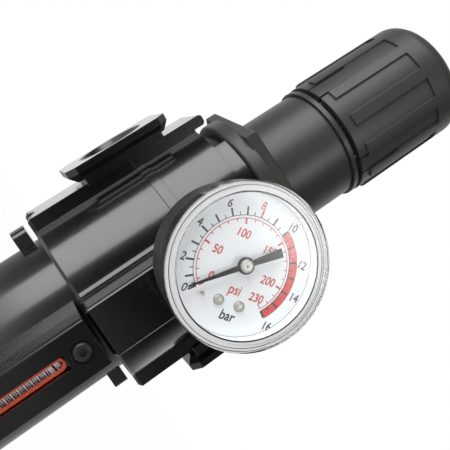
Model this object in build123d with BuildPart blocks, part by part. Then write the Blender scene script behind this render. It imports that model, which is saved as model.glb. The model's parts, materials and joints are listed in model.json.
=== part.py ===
from build123d import *
import os
from math import asin, cos, degrees, pi, radians, sin, sqrt

# Filter regulator for half inch pipe: a die-cast body between two ports, a spring bonnet with a
# push-to-lock knob above it, a metal bowl with a level glass below it, and a pressure gauge in front.
# Millimetres. +Z runs up the regulator, -Y is the front, where the gauge and the level glass are.
# The origin is where the port axis crosses the vertical axis.

os.makedirs("parts", exist_ok=True)

# Fits
run_gap = 0.05          # radial gap of a shaft that turns or slides in its bore
clear_gap = 0.3         # gap between pieces that pass each other without guiding
seat_gap = 0.1          # gap round a piece that is dropped or screwed into its seat
face_gap = 0.05         # film between two faces that are screwed together

# Ports, G 1/2
port_span = 75.0        # face to face
port_drill_d = 19.0
port_mouth_d = 22.0
port_depth = 17.0
flange_h = 34.6
flange_w = 25.0
flange_t = 2.2
flange_bevel = 2.4
flange_corner = 3.0
neck_w = 22.4
neck_h = 27.0
gallery_d = 11.0        # passages that join the ports to the chambers
gallery_x = 15.5
gallery_well_r = 3.5    # upright passage at a gallery's end
mouth_depth = 1.5
flange_slope = 40.0

# Body casting
body_r = 29.0
body_top = 23.3
body_bottom = -34.0
wing_span = 63.0        # across the two flat sides
wing_depth = 20.0
pad_w = 15.7
pad_reach = 40.0        # from the axis to the pad's face, front and back
pad_top = 15.0
pad_round = 1.2
pad_blend = 3.0
body_lip = 0.9
band_low = 1.2          # mould band round the bulge
band_top = 4.5
band_rise = 0.35
collar_r = 27.2         # raised collar round the bonnet's seat
collar_h = 4.6
collar_sweep = 104.0
ear_h = 4.0
ear_t = 3.4
arch_w = 9.0
arch_h = 3.2

# Bonnet
thread_r = 22.5         # screwed into the body's collar
bonnet_ledge = 14.0     # height of the diaphragm's ledge
disc_r = 25.8
disc_z = 28.6
hex_z = 33.0
hex_r = 27.8
hex_turn = -14.0
hex_top = 37.1
bonnet_r = 19.2
bonnet_top = 60.6
bonnet_wall = 3.0
ring_r = 20.1
ring_h = 1.6
ring_rise = 0.5
spigot_r = 13.5
disc_round = 1.6
hex_bevel = 0.5
spigot_wall = 4.0

# Knob
knob_r = 21.1
knob_z = 64.4
knob_top = 109.5
knob_wall = 2.2
knob_dome = 5.5
knob_crown = 6.4        # material over the hollow
rib_count = 12
rib_w = 3.9
rib_depth = 0.8
rib_low = 3.2           # rib's end above the rim
rib_drop = 11.5         # ribs' upper ends below the knob's top
rib_turn = 15.0
tongue_count = 4
slit_w = 0.7
slit_h = 15.6
hub_r = 9.0
hub_drop = 31.5         # hub's foot below the knob's top
hub_af = 11.0
hub_grip = 12.0         # hexagon still in the hub when the knob is lifted
knob_lift = 3.0

# Adjusting screw, its nut and the regulating spring
wire_sides = 12         # keeps the coils light
screw_r = 5.0
screw_end = 40.0
collar_disc_r = 8.5
collar_disc_t = 2.4
nut_z = 50.0
nut_t = 6.0
key_w = 4.0
key_depth = 2.0
key_root = 0.2          # how far a key is sunk in the bonnet's wall
key_start = 7.0
spring_wire = 3.2
spring_mean_r = 10.4
spring_turns = 6.0

# Diaphragm group
diaphragm_t = 1.4
slip_t = 1.0
outlet_r = 17.0         # chamber under the diaphragm
outlet_h = 4.0
outlet_floor = 3.0
plate_r = 14.4
plate_t = 2.0
plate_boss_r = 8.2
plate_boss_h = 2.2
spigot_pin_r = 3.0
relief_r = 9.0
relief_t = 2.2
pin_proud = 0.6
vent_r = 1.0

# Valve
seat_t = 2.0
seat_r = 5.0
seat_land = 3.0         # flat round the seat, under the diaphragm
valve_bore_r = 9.6
valve_head_r = 7.2
valve_head_t = 2.4
valve_seal_t = 1.0
valve_stem_r = 1.6
valve_tip_round = 0.96
valve_tail_r = 2.5
valve_tail_end = -15.0
valve_spring_wire = 0.9
valve_spring_r = 5.1
valve_spring_turns = 4.0

# Guide, filter and vanes
boss_r = 12.0           # body's middle boss over the filter
boss_end = -19.0
inlet_top = -8.0
inlet_rim = 4.0         # wall between the inlet ring and the bowl's bore
guide_top = -9.0
guide_wall = 1.5
guide_floor = -16.0
guide_end = -24.0
guide_post_r = 3.6
guide_post_top = -12.0
guide_hole_r = 1.3
guide_hole_ring = 6.2
vane_plate_t = 2.0
vane_count = 10
vane_rim = 1.4
vane_slot_t = 1.5
vane_tilt = 35.0
filter_r = 13.0
filter_bore_r = 9.8
filter_end = -62.0
baffle_r = 16.4
baffle_t = 2.0
baffle_drop = 5.0
stud_r = 2.3
stud_hole = 4.0
stud_gap = 0.5
baffle_hex_r = 4.5
baffle_hex_h = 4.0
baffle_root = 0.5       # how far the hexagon is sunk in the baffle

# Bowl
bowl_r = 23.7
bowl_wall = 3.6
bowl_top = -20.5
bowl_bottom = -118.0
bowl_round = 12.0
bowl_gap = 0.4          # between the bowl and the body's bore
lug_r = 26.8
lug_h = 4.2
lug_sweep = 40.0
ledge_t = 2.0
lug_turn = 45.0
lug_slack = 4.0
ring_groove_z = -23.2
ring_groove_h = 3.0
o_ring_r = 1.25
grip_reach = 27.7
grip_w = 9.0
grip_h = 4.6
grip_drop = 1.8
grip_round = 2.4

# Level glass on the bowl's front
frame_w = 14.8
frame_front = 42.7
frame_back = 34.2
frame_top = -35.4
frame_end = -104.0
frame_round = 1.3
window_w = 4.3
window_top = -44.2
window_end = -95.0
glass_w = 6.4
glass_lap = 2.0
glass_flange = 4.6
level_w = 1.9
level_rise = 1.7
level_step = 1.9
level_inset = 2.9
seal_w = 3.9
seal_rise = 2.0
seal_inset = 0.4        # from the window's end to the seal
slot_w = 2.5
slot_inset = 2.9
screw_inset = 4.4
screw_head_r = 2.6
screw_head_t = 1.7
screw_shank_r = 1.25
screw_len = 9.0
screw_socket_af = 2.0
screw_socket_depth = 1.1
screw_sink = 0.7        # the head's seat below the frame's face
screw_head_round = 0.9
screw_hole_depth = 5.0
prism = 1.0

# Drain
drain_r = 4.9
drain_flange_r = 7.2
drain_flange_t = 2.0
drain_nut_af = 15.0
drain_nut_t = 3.6
drain_knob_r = 8.0
drain_knob_h = 9.0
drain_gap = 0.6
drain_grip_count = 16
drain_grip_r = 1.1
drain_grip_out = 0.5    # the grooves' centres lie outside the knob
drain_socket_h = 3.0    # floor of the knob under the fitting
drain_spout_r = 4.2
drain_spout_h = 6.0
drain_bore_r = 1.8

# Gauge
gauge_z = 4.2
gauge_thread_r = 5.9
gauge_port_depth = 11.0
stem_len = 10.0
gauge_way_r = 1.5
gauge_way_rise = 4.0    # the way to the outlet chamber lies above the gauge's axis
gauge_roll = -36.5      # how far the dial is turned, clockwise seen from the front
case_r = 19.8
case_gap = 2.4          # from the pad to the case's back
case_depth = 17.8
case_wall = 1.5
case_round = 2.3
lens_r = 21.0
lens_lap = 3.8          # the lens over the case
lens_proud = 2.8
lens_t = 2.0
lens_round = 0.8
rim_w = 2.3             # the lens's rim stands proud of its window
rim_rise = 0.7
rim_line_r = 19.9       # fine groove in the rim
rim_line_w = 0.25
dial_sink = 3.0         # the dial's face below the case's rim
dial_t = 0.6
dial_r = 18.2
square_af = 14.0
shaft_r = 0.65
pointer_len = 14.0
pointer_tail = 10.5
pointer_gap = 1.4
pointer_t = 0.5
pointer_tip_w = 0.3
pointer_waist_w = 1.5
pointer_tail_w = 2.3
pointer_waist = 3.0     # where the tail starts to widen
pointer_neck = 1.0
zero_angle = -135.0     # where the scale starts, from the dial's top
cap_r = 1.7
cap_t = 1.0
cap_round = 0.6
dial_screw_r = 1.45
dial_screw_t = 0.9
dial_screw_round = 0.72
dial_screw_gap = 5.9
dial_screw_ring = 9.1
dial_shank_r = 0.7
movement_plate_r = 11.2
movement_plate_t = 1.2
movement_w = 10.4
stem_reach = 4.0        # the stem's socket end inside the case
stem_step = 1.0
stop_ring = 12.4
stop_turn = 7.0
stop_pin_r = 0.4
stop_rise = 0.6
plug_af = 6.0
plug_len = 9.0
plug_head_r = 7.9
plug_head_t = 2.4
plug_socket = 5.0


def save(piece, node):
    """Name a finished piece and write it to its own file."""
    piece.part.label = node
    export_step(piece.part, f"parts/{node}.step")


def disc(radius, low, high, mode=Mode.ADD):
    """Upright round disc or rod between two heights."""
    with Locations((0, 0, low)):
        Cylinder(radius, high - low, align=(Align.CENTER, Align.CENTER, Align.MIN), mode=mode)


def block(x_size, y_low, y_high, z_low, z_high, mode=Mode.ADD, x=0.0):
    """Square block, centred on x, between two depths and two heights."""
    with Locations((x, (y_low + y_high) / 2, (z_low + z_high) / 2)):
        Box(x_size, y_high - y_low, z_high - z_low, mode=mode)


def rod_x(radius, x_low, x_high, mode=Mode.ADD):
    """Round rod along the port axis."""
    with Locations(Location(((x_low + x_high) / 2, 0, 0), (0, 90, 0))):
        Cylinder(radius, x_high - x_low, mode=mode)


def rod_y(radius, y_low, y_high, z, mode=Mode.ADD, x=0.0):
    """Round rod that runs from front to back."""
    with Locations(Location((x, (y_low + y_high) / 2, z), (90, 0, 0))):
        Cylinder(radius, y_high - y_low, mode=mode)


def sector(radius, sweep, middle, low, high, mode=Mode.ADD):
    """Wedge of a disc, its middle at an angle from +X, between two heights."""
    with Locations(Location((0, 0, low), (0, 0, middle - sweep / 2))):
        Cylinder(radius, high - low, arc_size=sweep,
                 align=(Align.NONE, Align.NONE, Align.MIN), mode=mode)


def coil(mean_r, wire, low, high, turns):
    """Spring wire wound about the axis between two heights."""
    rise = high - low - wire
    path = Helix(pitch=rise / turns, height=rise, radius=mean_r, center=(0, 0, low + wire / 2))
    start = Plane(origin=path @ 0, z_dir=path % 0)
    with BuildPart() as wound:
        with BuildSketch(start):
            RegularPolygon(wire / 2, wire_sides)
        sweep(path=path, is_frenet=True)
    return wound


# Body casting: plan outline, collar, ears and port ends, then the chambers are cut
bore_r = bowl_r + bowl_gap
groove_r = lug_r + clear_gap
ledge_top = body_bottom + ledge_t
collar_top = body_top + collar_h
seat_z = outlet_floor - seat_t
half_span = port_span / 2
half_wing = wing_span / 2

with BuildPart() as body_casting:
    foot = Plane.XY.offset(body_bottom + body_lip)
    with BuildSketch(foot):
        Circle(body_r)
        Rectangle(wing_span, wing_depth)
    extrude(amount=body_top - body_bottom - body_lip)
    with BuildSketch(foot) as pad_plan:
        Circle(body_r)
        Rectangle(pad_w, 2 * pad_reach)
        corners = pad_plan.vertices().group_by(lambda point: abs(point.Y))
        fillet(corners[-1], pad_round)
        fillet(pad_plan.vertices().filter_by(
            lambda point: abs(sqrt(point.X ** 2 + point.Y ** 2) - body_r) < 0.01), pad_blend)
    extrude(amount=pad_top - body_bottom - body_lip)
    with BuildSketch(foot):
        add(pad_plan.sketch)
        Rectangle(wing_span, wing_depth)
    extrude(amount=-body_lip, taper=45)
    # Raised collar in two arcs, and an ear on each side
    sector(collar_r, collar_sweep, -90, body_top, collar_top)
    sector(collar_r, collar_sweep, 90, body_top, collar_top)
    for side in (-1, 1):
        with BuildSketch(Plane.XZ.offset(-wing_depth / 2)):
            with Locations((side * (half_wing - ear_t / 2), body_top + ear_h / 2)):
                RectangleRounded(ear_t, ear_h, ear_t / 3)
            with Locations((side * (half_wing - ear_t / 2), body_top + ear_h / 4)):
                Rectangle(ear_t, ear_h / 2)
        extrude(amount=wing_depth)
    # Raised mould band round the bulge and over the sides
    with BuildSketch(Plane.XY.offset(band_low)):
        Circle(body_r + band_rise)
        Rectangle(wing_span, wing_depth + 2 * band_rise)
    extrude(amount=band_top - band_low)
    # Port ends: a neck, a bevelled back and an eight-sided face
    for side in (-1, 1):
        face_plane = Plane(origin=(side * half_span, 0, 0), x_dir=(0, 1, 0), z_dir=(-side, 0, 0))
        with BuildSketch(face_plane) as plate:
            Rectangle(flange_w, flange_h)
            chamfer(plate.vertices(), flange_corner)
        extrude(amount=flange_t)
        with BuildSketch(face_plane.offset(flange_t)) as back:
            Rectangle(flange_w, flange_h)
            chamfer(back.vertices(), flange_corner)
        extrude(amount=flange_bevel, taper=flange_slope)
        with BuildSketch(face_plane):
            Rectangle(neck_w, neck_h)
        extrude(amount=half_span - half_wing + 1)
    # Bore for the bowl, with a ledge that the bowl's lugs turn behind
    disc(bore_r, body_bottom - 1, boss_end, mode=Mode.SUBTRACT)
    disc(groove_r, ledge_top, ledge_top + lug_h + 2 * clear_gap, mode=Mode.SUBTRACT)
    for middle in (lug_turn, lug_turn + 180):
        sector(groove_r, lug_sweep + lug_slack, middle, body_bottom - 1, ledge_top + 1, mode=Mode.SUBTRACT)
    # Arched relief under each side, over the bowl's grips
    for side in (-1, 1):
        with BuildSketch(Plane.YZ.offset(side * half_wing)):
            with Locations((0, body_bottom)):
                Ellipse(arch_w / 2, arch_h)
        extrude(amount=-side * (half_wing - bore_r + 1), mode=Mode.SUBTRACT)
    # Inlet ring, valve bore, seat and outlet chamber
    with BuildSketch(Plane.XY.offset(inlet_top)):
        Circle(bore_r - inlet_rim)
        Circle(boss_r, mode=Mode.SUBTRACT)
    extrude(amount=boss_end - inlet_top - 1, mode=Mode.SUBTRACT)
    disc(valve_bore_r, boss_end - 1, seat_z, mode=Mode.SUBTRACT)
    disc(seat_r, seat_z - 1, outlet_floor + 1, mode=Mode.SUBTRACT)
    disc(seat_r + seat_land, outlet_floor, bonnet_ledge, mode=Mode.SUBTRACT)
    disc(outlet_r, bonnet_ledge - outlet_h, bonnet_ledge + 1, mode=Mode.SUBTRACT)
    disc(thread_r + seat_gap, bonnet_ledge, collar_top + 1, mode=Mode.SUBTRACT)
    # Port threads, their mouths and the galleries behind them
    for side in (-1, 1):
        rod_x(port_drill_d / 2, *sorted((side * half_span, side * (half_span - port_depth))),
              mode=Mode.SUBTRACT)
        with Locations(Location((side * half_span, 0, 0), (0, 90 * side, 0))):
            Cone(port_drill_d / 2, port_mouth_d / 2, mouth_depth,
                 align=(Align.CENTER, Align.CENTER, Align.MAX), mode=Mode.SUBTRACT)
        rod_x(gallery_d / 2, *sorted((side * gallery_x, side * (half_span - port_depth + 1))),
              mode=Mode.SUBTRACT)
    with Locations((-gallery_x, 0, 0)):
        Cylinder(gallery_well_r, 1 - inlet_top, mode=Mode.SUBTRACT,
                 align=(Align.CENTER, Align.CENTER, Align.MAX))
    with Locations((gallery_x, 0, 0)):
        Cylinder(gallery_well_r, bonnet_ledge - 1, mode=Mode.SUBTRACT,
                 align=(Align.CENTER, Align.CENTER, Align.MIN))
    # Gauge ports, front and back
    for side in (-1, 1):
        rod_y(gauge_thread_r + seat_gap,
              *sorted((side * (pad_reach + 1), side * (pad_reach - gauge_port_depth))), gauge_z,
              mode=Mode.SUBTRACT)
    rod_y(gauge_way_r, -pad_reach, -seat_r, gauge_z + gauge_way_rise, mode=Mode.SUBTRACT)
save(body_casting, "body_casting")

# Bonnet
bonnet_foot = bonnet_ledge + diaphragm_t + slip_t
cavity_r = bonnet_r - bonnet_wall
spigot_bore_r = spigot_r - spigot_wall
spigot_top = knob_z - clear_gap

disc_top = hex_z + hex_bevel

with BuildPart() as bonnet:
    with BuildSketch(Plane.XZ):
        with BuildLine():
            Polyline((0, bonnet_foot), (thread_r, bonnet_foot), (thread_r, disc_z),
                     (disc_r, disc_z), (disc_r, disc_top), (bonnet_r, disc_top),
                     (bonnet_r, bonnet_top), (bonnet_r - ring_rise, bonnet_top),
                     (bonnet_r - ring_rise, bonnet_top + ring_rise),
                     (ring_r, bonnet_top + ring_rise), (ring_r, bonnet_top + ring_rise + ring_h),
                     (spigot_r, bonnet_top + ring_rise + ring_h), (spigot_r, spigot_top),
                     (0, spigot_top), close=True)
        make_face()
    revolve(axis=Axis.Z)
    fillet(bonnet.edges().filter_by(GeomType.CIRCLE).filter_by(
        lambda edge: abs(edge.radius - disc_r) < 0.01 and edge.center().Z < disc_z + 0.1), disc_round)
    with BuildSketch(Plane.XY.offset(hex_z)):
        RegularPolygon(hex_r, 6, rotation=hex_turn)
    extrude(amount=hex_top - hex_z)
    chamfer(bonnet.faces().filter_by(Axis.Z).sort_by(
        lambda face: abs(face.center().Z - hex_top))[0].outer_wire().edges(), hex_bevel)
    disc(cavity_r, bonnet_foot - 1, bonnet_top - bonnet_wall, mode=Mode.SUBTRACT)
    disc(spigot_bore_r, bonnet_foot, spigot_top - spigot_wall, mode=Mode.SUBTRACT)
    disc(screw_r + run_gap, bonnet_foot, spigot_top + 1, mode=Mode.SUBTRACT)
    # Two keys inside keep the spring seat from turning
    for side in (-1, 1):
        block(key_depth, -key_w / 2, key_w / 2, bonnet_foot + key_start, bonnet_top - bonnet_wall,
              x=side * (cavity_r - key_depth / 2 + key_root))
    # Vent hole at the back
    rod_y(vent_r, bonnet_r - bonnet_wall - 1, bonnet_r + 1, hex_top + 3, mode=Mode.SUBTRACT)
save(bonnet, "bonnet")

# Knob
rim_r = knob_r - rib_depth
hollow_r = rim_r - knob_wall
rib_top = knob_top - rib_drop
hub_z = knob_top - hub_drop

with BuildPart() as knob:
    disc(knob_r, knob_z, knob_top)
    fillet(knob.faces().sort_by(Axis.Z)[-1].edges(), knob_dome)
    # Panels between the ribs, and the plain rim below them
    with BuildPart(mode=Mode.PRIVATE) as panels:
        disc(knob_r + 1, knob_z - 1, rib_top)
        disc(rim_r, knob_z - 2, rib_top + 1, mode=Mode.SUBTRACT)
        with BuildSketch(Plane.XY.offset(knob_z + rib_low)):
            with PolarLocations(0, rib_count, start_angle=rib_turn - 90):
                with Locations((knob_r, 0)):
                    Rectangle(8, rib_w)
        extrude(amount=knob_top, mode=Mode.SUBTRACT)
    add(panels.part, mode=Mode.SUBTRACT)
    disc(hollow_r, knob_z - 1, knob_top - knob_crown, mode=Mode.SUBTRACT)
    disc(hub_r, hub_z, knob_top - knob_crown + 1)
    with BuildSketch(Plane.XY.offset(hub_z - 1)):
        RegularPolygon(hub_af / 2 + clear_gap, 6, major_radius=False)
    extrude(amount=knob_top - knob_crown - hub_z, mode=Mode.SUBTRACT)
    # Slits free a spring tongue in every third panel
    pitch_angle = 360 / rib_count
    slit_angle = (rib_w / 2 + slit_w / 2) / knob_r * 180 / pi
    for index in range(tongue_count):
        middle = rib_turn - 90 + pitch_angle / 2 + index * 360 / tongue_count
        for shift in (slit_angle - pitch_angle / 2, pitch_angle / 2 - slit_angle):
            with Locations(Location((0, 0, knob_z - 1), (0, 0, middle + shift))):
                Box(knob_r + 2, slit_w, slit_h + 1, mode=Mode.SUBTRACT,
                    align=(Align.MIN, Align.CENTER, Align.MIN))
save(knob, "knob")

# Adjusting screw: thread, thrust collar under the bonnet's top, and a six-sided head
collar_disc_top = spigot_top - spigot_wall - run_gap

with BuildPart() as adjusting_screw:
    disc(screw_r, screw_end, hub_z - 2)
    disc(collar_disc_r, collar_disc_top - collar_disc_t, collar_disc_top)
    with BuildSketch(Plane.XY.offset(hub_z - 2)):
        RegularPolygon(hub_af / 2, 6, major_radius=False)
    extrude(amount=2 + hub_grip + knob_lift)
    fillet(adjusting_screw.faces().sort_by(Axis.Z)[0].edges(), 1)
save(adjusting_screw, "adjusting_screw")

# Spring seat: the nut that the screw drives down on the spring
with BuildPart() as spring_seat:
    disc(cavity_r - clear_gap, nut_z, nut_z + nut_t)
    disc(spring_mean_r - spring_wire / 2 - clear_gap, nut_z - 3, nut_z)
    disc(screw_r + run_gap, nut_z - 4, nut_z + nut_t + 1, mode=Mode.SUBTRACT)
    for side in (-1, 1):
        block(key_depth + 2 * clear_gap, -key_w / 2 - clear_gap, key_w / 2 + clear_gap, nut_z - 4,
              nut_z + nut_t + 1, mode=Mode.SUBTRACT, x=side * (cavity_r - key_depth / 2))
save(spring_seat, "spring_seat")

# Diaphragm, its slip ring and the plate that the spring stands on
plate_z = bonnet_ledge + diaphragm_t
relief_top = bonnet_ledge - seat_gap
relief_low = relief_top - relief_t
pin_low = relief_low - pin_proud

with BuildPart() as diaphragm:
    disc(thread_r - seat_gap, bonnet_ledge, plate_z)
    disc(spigot_pin_r + seat_gap, bonnet_ledge - 1, plate_z + 1, mode=Mode.SUBTRACT)
save(diaphragm, "diaphragm")

with BuildPart() as slip_ring:
    disc(thread_r - seat_gap, plate_z, bonnet_foot)
    disc(plate_r + 2 * clear_gap, plate_z - 1, bonnet_foot + 1, mode=Mode.SUBTRACT)
save(slip_ring, "slip_ring")

with BuildPart() as diaphragm_plate:
    disc(plate_r, plate_z, plate_z + plate_t)
    disc(plate_boss_r, plate_z + plate_t, plate_z + plate_t + plate_boss_h)
    disc(spigot_pin_r, pin_low, plate_z)
    disc(vent_r, relief_low - 1, plate_z + plate_t + plate_boss_h + 1, mode=Mode.SUBTRACT)
save(diaphragm_plate, "diaphragm_plate")

with BuildPart() as relief_nut:
    with BuildSketch(Plane.XY.offset(relief_low)):
        Circle(relief_r)
        Circle(spigot_pin_r, mode=Mode.SUBTRACT)
    extrude(amount=relief_t)
save(relief_nut, "relief_nut")

regulating_spring = coil(spring_mean_r, spring_wire, plate_z + plate_t, nut_z, spring_turns)
save(regulating_spring, "regulating_spring")

# Valve: a poppet with a rubber face, its return spring and the guide below
valve_seal_low = seat_z - valve_seal_t
valve_head_low = valve_seal_low - valve_head_t
stem_top = pin_low

with BuildPart() as valve_poppet:
    disc(valve_head_r, valve_head_low, valve_seal_low)
    disc(valve_stem_r, valve_seal_low, stem_top)
    disc(valve_tail_r, valve_tail_end, valve_head_low)
    fillet(valve_poppet.faces().sort_by(Axis.Z)[-1].edges(), valve_tip_round)
save(valve_poppet, "valve_poppet")

with BuildPart() as valve_seal:
    disc(valve_head_r, valve_seal_low, seat_z)
    disc(valve_stem_r, valve_seal_low - 1, seat_z + 1, mode=Mode.SUBTRACT)
save(valve_seal, "valve_seal")

valve_spring = coil(valve_spring_r, valve_spring_wire, guide_floor, valve_head_low,
                    valve_spring_turns)
save(valve_spring, "valve_spring")

vane_top = boss_end
vane_low = vane_top - vane_plate_t

with BuildPart() as valve_guide:
    disc(valve_bore_r - seat_gap, guide_floor, guide_top)
    disc(valve_bore_r - seat_gap - guide_wall, guide_floor, guide_top + 1, mode=Mode.SUBTRACT)
    disc(guide_post_r, guide_floor, guide_post_top)
    disc(valve_bore_r - seat_gap, vane_low, guide_floor)
    disc(boss_r, guide_end, vane_low)
    disc(valve_tail_r + run_gap, valve_tail_end - 3, guide_post_top + 1, mode=Mode.SUBTRACT)
    disc(stud_r, guide_end - 1, guide_end + stud_hole, mode=Mode.SUBTRACT)
    with BuildSketch(Plane.XY.offset(guide_end - 1)):
        with PolarLocations(guide_hole_ring, 6):
            Circle(guide_hole_r)
    extrude(amount=guide_floor - guide_end + 2, mode=Mode.SUBTRACT)
save(valve_guide, "valve_guide")

# Swirl vanes, filter tube and the baffle that holds it
bowl_bore_r = bowl_r - bowl_wall
vane_r = bowl_bore_r - clear_gap

with BuildPart() as swirl_vanes:
    with BuildSketch(Plane.XY.offset(vane_low)):
        Circle(vane_r)
        Circle(valve_bore_r, mode=Mode.SUBTRACT)
    extrude(amount=vane_plate_t)
    with BuildPart(mode=Mode.PRIVATE) as louvres:
        for index in range(vane_count):
            with Locations(Location((0, 0, (vane_low + vane_top) / 2), (0, 0, index * 360 / vane_count))):
                with Locations(Location(((boss_r + vane_r - vane_rim) / 2 + clear_gap, 0, 0), (vane_tilt, 0, 0))):
                    Box(vane_r - vane_rim - boss_r - 2 * clear_gap, vane_slot_t, 3 * vane_plate_t)
    add(louvres.part, mode=Mode.SUBTRACT)
save(swirl_vanes, "swirl_vanes")

with BuildPart() as filter_element:
    disc(filter_r, filter_end, guide_end)
    disc(filter_bore_r, filter_end - 1, guide_end + 1, mode=Mode.SUBTRACT)
save(filter_element, "filter_element")

with BuildPart() as baffle:
    with BuildSketch(Plane.XZ):
        with BuildLine():
            Polyline((0, filter_end), (filter_r, filter_end), (baffle_r, filter_end - baffle_drop),
                     (baffle_r, filter_end - baffle_drop - baffle_t),
                     (filter_r - 1, filter_end - baffle_t), (0, filter_end - baffle_t), close=True)
        make_face()
    revolve(axis=Axis.Z)
    disc(stud_r, filter_end, guide_end + stud_hole - stud_gap)
    with BuildSketch(Plane.XY.offset(filter_end - baffle_t - baffle_hex_h)):
        RegularPolygon(baffle_hex_r, 6)
    extrude(amount=baffle_hex_h + baffle_root)
save(baffle, "baffle")

# Bowl: a closed cup with bayonet lugs, a boss for the level glass and a drain hole
half_frame = frame_w / 2
inner_floor = bowl_bottom + bowl_wall

with BuildPart() as bowl:
    with BuildSketch(Plane.XZ):
        with BuildLine():
            Line((0, bowl_top), (bowl_r, bowl_top))
            Line((bowl_r, bowl_top), (bowl_r, bowl_bottom + bowl_round))
            RadiusArc((bowl_r, bowl_bottom + bowl_round), (bowl_r - bowl_round, bowl_bottom), bowl_round)
            Line((bowl_r - bowl_round, bowl_bottom), (0, bowl_bottom))
            Line((0, bowl_bottom), (0, bowl_top))
        make_face()
    revolve(axis=Axis.Z)
    # Boss that the level glass lies on
    block(frame_w, -frame_back, 0, frame_end, frame_top)
    # Grips that stand out under the body, and lugs that turn behind its ledge
    for side in (-1, 1):
        with BuildSketch(Plane.XY.offset(body_bottom - grip_drop - grip_h)):
            with Locations((side * (bowl_r + grip_reach) / 2, 0)):
                RectangleRounded(2 * (grip_reach - bowl_r), grip_w, grip_round)
        extrude(amount=grip_h)
    for middle in (0, 180):
        sector(lug_r, lug_sweep, middle, ledge_top + clear_gap, ledge_top + clear_gap + lug_h)
    # Hollow
    with BuildSketch(Plane.XZ):
        with BuildLine():
            inner_round = bowl_round - bowl_wall
            Line((0, bowl_top + 1), (bowl_bore_r, bowl_top + 1))
            Line((bowl_bore_r, bowl_top + 1), (bowl_bore_r, inner_floor + inner_round))
            RadiusArc((bowl_bore_r, inner_floor + inner_round), (bowl_bore_r - inner_round, inner_floor),
                      inner_round)
            Line((bowl_bore_r - inner_round, inner_floor), (0, inner_floor))
            Line((0, inner_floor), (0, bowl_top + 1))
        make_face()
    revolve(axis=Axis.Z, mode=Mode.SUBTRACT)
    # Groove for the bowl's seal ring
    with BuildPart(mode=Mode.PRIVATE) as ring_groove:
        disc(bowl_r + 1, ring_groove_z - ring_groove_h / 2, ring_groove_z + ring_groove_h / 2)
        disc(bore_r - 2 * o_ring_r - run_gap, ring_groove_z - ring_groove_h, ring_groove_z + ring_groove_h,
             mode=Mode.SUBTRACT)
    add(ring_groove.part, mode=Mode.SUBTRACT)
    # Slot that lets the liquid reach the glass, the screw holes and the drain hole
    block(slot_w, -frame_back - 1, -bowl_bore_r + 2, window_end + slot_inset, window_top - slot_inset,
          mode=Mode.SUBTRACT)
    for height in (frame_top - screw_inset, frame_end + screw_inset):
        rod_y(screw_shank_r, -frame_back - 1, -frame_back + screw_hole_depth, height, mode=Mode.SUBTRACT)
    disc(drain_r + seat_gap, bowl_bottom - 1, inner_floor + 1, mode=Mode.SUBTRACT)
save(bowl, "bowl")

with BuildPart() as bowl_seal_ring:
    with Locations((0, 0, ring_groove_z)):
        Torus(bore_r - o_ring_r - run_gap / 2, o_ring_r)
save(bowl_seal_ring, "bowl_seal_ring")

# Frame, glass, seal and screws of the level glass
window_mid = (window_top + window_end) / 2
seal_len = window_top - window_end - 2 * seal_inset

with BuildPart() as sight_frame:
    block(frame_w, -frame_front, -frame_back - face_gap, frame_end, frame_top)
    fillet(sight_frame.edges().filter_by(Axis.Z).group_by(Axis.Y)[0], frame_round)
    block(window_w, -frame_front - 1, -frame_back + 1, window_end, window_top, mode=Mode.SUBTRACT)
    block(glass_w + 2 * seat_gap, -frame_back - glass_flange - seat_gap, -frame_back + 1,
          window_end - glass_lap - seat_gap, window_top + glass_lap + seat_gap, mode=Mode.SUBTRACT)
    for height in (frame_top - screw_inset, frame_end + screw_inset):
        rod_y(screw_shank_r + seat_gap, -frame_front - 1, -frame_back + 1, height, mode=Mode.SUBTRACT)
        rod_y(screw_head_r + clear_gap, -frame_front - 1, -frame_front + screw_sink, height,
              mode=Mode.SUBTRACT)
save(sight_frame, "sight_frame")

glass_face = frame_back + glass_flange

with BuildPart() as sight_glass:
    block(glass_w, -glass_face, -frame_back - face_gap, window_end - glass_lap, window_top + glass_lap)
    level_low = window_end + level_inset
    level_high = window_top - level_inset
    block(level_w, -glass_face - level_rise, -glass_face, level_low, level_high)
    # Ladder of small prisms along the front
    steps = int((level_high - level_low) / level_step)
    with BuildSketch(Plane.YZ.offset(-level_w / 2)):
        for index in range(1, steps):
            with Locations((-glass_face - level_rise, level_low + index * level_step)):
                Rectangle(prism, prism, rotation=45)
    extrude(amount=level_w, mode=Mode.SUBTRACT)
save(sight_glass, "sight_glass")

with BuildPart() as sight_seal:
    with BuildSketch(Plane.XZ.offset(glass_face)):
        with Locations((0, window_mid)):
            SlotOverall(seal_len, seal_w, rotation=90)
            SlotOverall(seal_len - seal_w + level_w + 2 * seat_gap, level_w + 2 * seat_gap,
                        rotation=90, mode=Mode.SUBTRACT)
    extrude(amount=seal_rise)
save(sight_seal, "sight_seal")

with BuildPart() as frame_screws:
    for height in (frame_top - screw_inset, frame_end + screw_inset):
        seat = -frame_front + screw_sink
        with Locations(Location((0, seat, height), (90, 0, 0))):
            Cylinder(screw_head_r, screw_head_t, align=(Align.CENTER, Align.CENTER, Align.MIN))
            Cylinder(screw_shank_r, screw_len + screw_sink, align=(Align.CENTER, Align.CENTER, Align.MAX))
    fillet(frame_screws.faces().sort_by(Axis.Y)[0:2].edges(), screw_head_round)
    for height in (frame_top - screw_inset, frame_end + screw_inset):
        with BuildSketch(Plane(origin=(0, seat - screw_head_t, height), x_dir=(1, 0, 0), z_dir=(0, 1, 0))):
            RegularPolygon(screw_socket_af / 2, 6, major_radius=False)
        extrude(amount=screw_socket_depth, mode=Mode.SUBTRACT)
save(frame_screws, "frame_screws")

# Drain: a fitting through the bowl's floor, its nut and the knob that opens it
nut_low = bowl_bottom - drain_nut_t
drain_top = nut_low - drain_gap
drain_low = drain_top - drain_knob_h

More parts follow.
